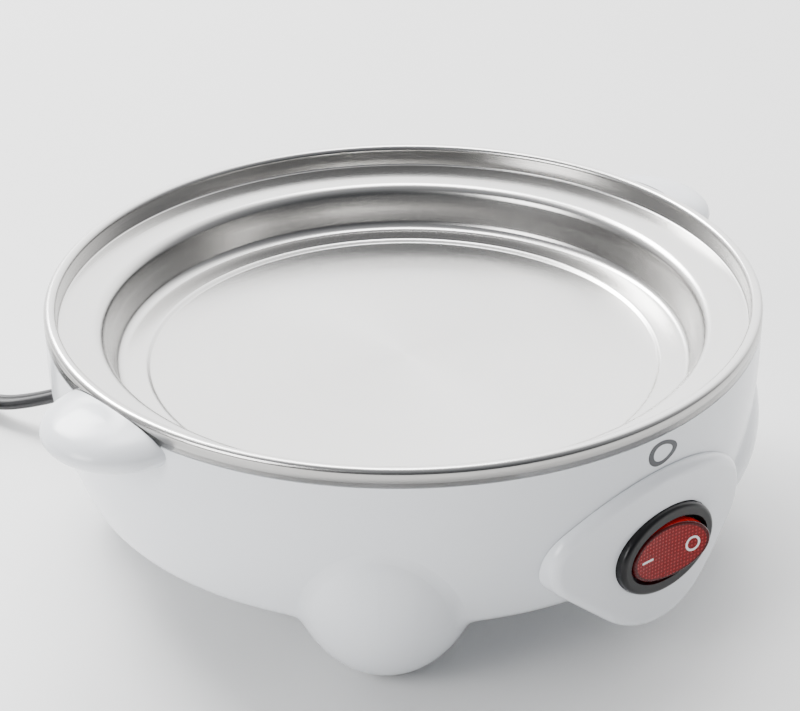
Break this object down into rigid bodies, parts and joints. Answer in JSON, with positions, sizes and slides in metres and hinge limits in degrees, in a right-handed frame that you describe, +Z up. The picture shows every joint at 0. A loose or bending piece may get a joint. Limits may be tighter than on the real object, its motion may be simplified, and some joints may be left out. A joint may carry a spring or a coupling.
{
  "type": "egg cooker",
  "caption": "Round egg cooker base with an open steel boiling bowl, white housing with egg-shaped feet and ear handles, and a red rocker switch on a raised panel.",
  "frame": {"origin": "ground level under the middle of the object, on the bowl's axis", "axes": "+Z up out of the bowl, -Y through the switch panel, handles along -X and +X"},
  "size_m": [0.2464, 0.2661, 0.066],
  "materials": {
    "bowl_steel": "circularly brushed stainless sheet",
    "silicone": "translucent silicone",
    "white_plastic": "glossy white moulding",
    "pad_rubber": "soft grey-white rubber",
    "zinc_steel": "zinc plated steel",
    "spring_steel": "bare spring wire",
    "black_plastic": "black satin-gloss moulding",
    "brass": "stamped brass strip",
    "red_lens": "translucent red moulding with a fine prism grid inside",
    "nylon": "natural nylon",
    "lamp_glass": "neon lamp glass",
    "aluminium": "die cast and bare",
    "heater_steel": "annealed dark steel sheath",
    "ceramic": "unglazed steatite",
    "phenolic": "dark phenolic moulding",
    "fuse_case": "metal fuse case",
    "wire_black": "heat resistant sleeve",
    "wire_white": "glass braid sleeve",
    "wire_red": "silicone sleeve",
    "cord_black": "soft black PVC",
    "tie_black": "ribbed plastic tie",
    "blade_brass": "nickel plated brass"
  },
  "bodies": {
    "root": {"bowl": "bowl_steel", "rim_gasket": "silicone", "housing": "white_plastic", "foot_pads": "pad_rubber", "switch_panel": "white_plastic", "panel_screws": "zinc_steel", "switch_body": "black_plastic", "switch_terminals": "brass", "heat_plate": "aluminium", "heating_tube": "heater_steel", "heater_seals": "ceramic", "heater_pins": "zinc_steel", "crimp_sleeves": "zinc_steel", "thermostat_cap": "aluminium", "thermostat_bracket": "zinc_steel", "thermostat_body": "phenolic", "thermostat_tabs": "brass", "thermostat_screws": "zinc_steel", "thermal_fuse": "fuse_case", "fuse_clip": "zinc_steel", "fuse_clip_screw": "zinc_steel", "tie_posts": "zinc_steel", "base_cover": "white_plastic", "base_screws": "zinc_steel", "push_on_sleeves": "nylon", "live_wire": "wire_black", "neutral_wire": "wire_white", "switched_wire": "wire_red", "heater_wire": "wire_white", "fuse_wire": "wire_white", "strain_relief": "cord_black", "power_cord": "cord_black", "cord_coil": "cord_black", "cord_tie": "tie_black", "plug_relief": "cord_black", "plug_body": "cord_black", "plug_blades": "blade_brass"},
    "rocker": {"rocker": "red_lens", "detent_plunger": "nylon", "detent_spring": "spring_steel", "neon_lamp": "lamp_glass"},
    "contact_lever": {"contact_lever": "brass"}
  },
  "joints": [
    {"name": "rocker_hinge", "type": "hinge", "parent": "root", "child": "rocker", "pos_m": [0, -0.088, 0.0328], "axis": [0, 0, 1], "range_deg": [0, 14]},
    {"name": "lever_hinge", "type": "hinge", "parent": "root", "child": "contact_lever", "pos_m": [0, -0.0784, 0.0328], "axis": [0, 0, 1], "range_deg": [-14, 0]}
  ],
  "couplings": [
    {"joint": "lever_hinge", "follows": "rocker_hinge", "ratio": -1}
  ]
}
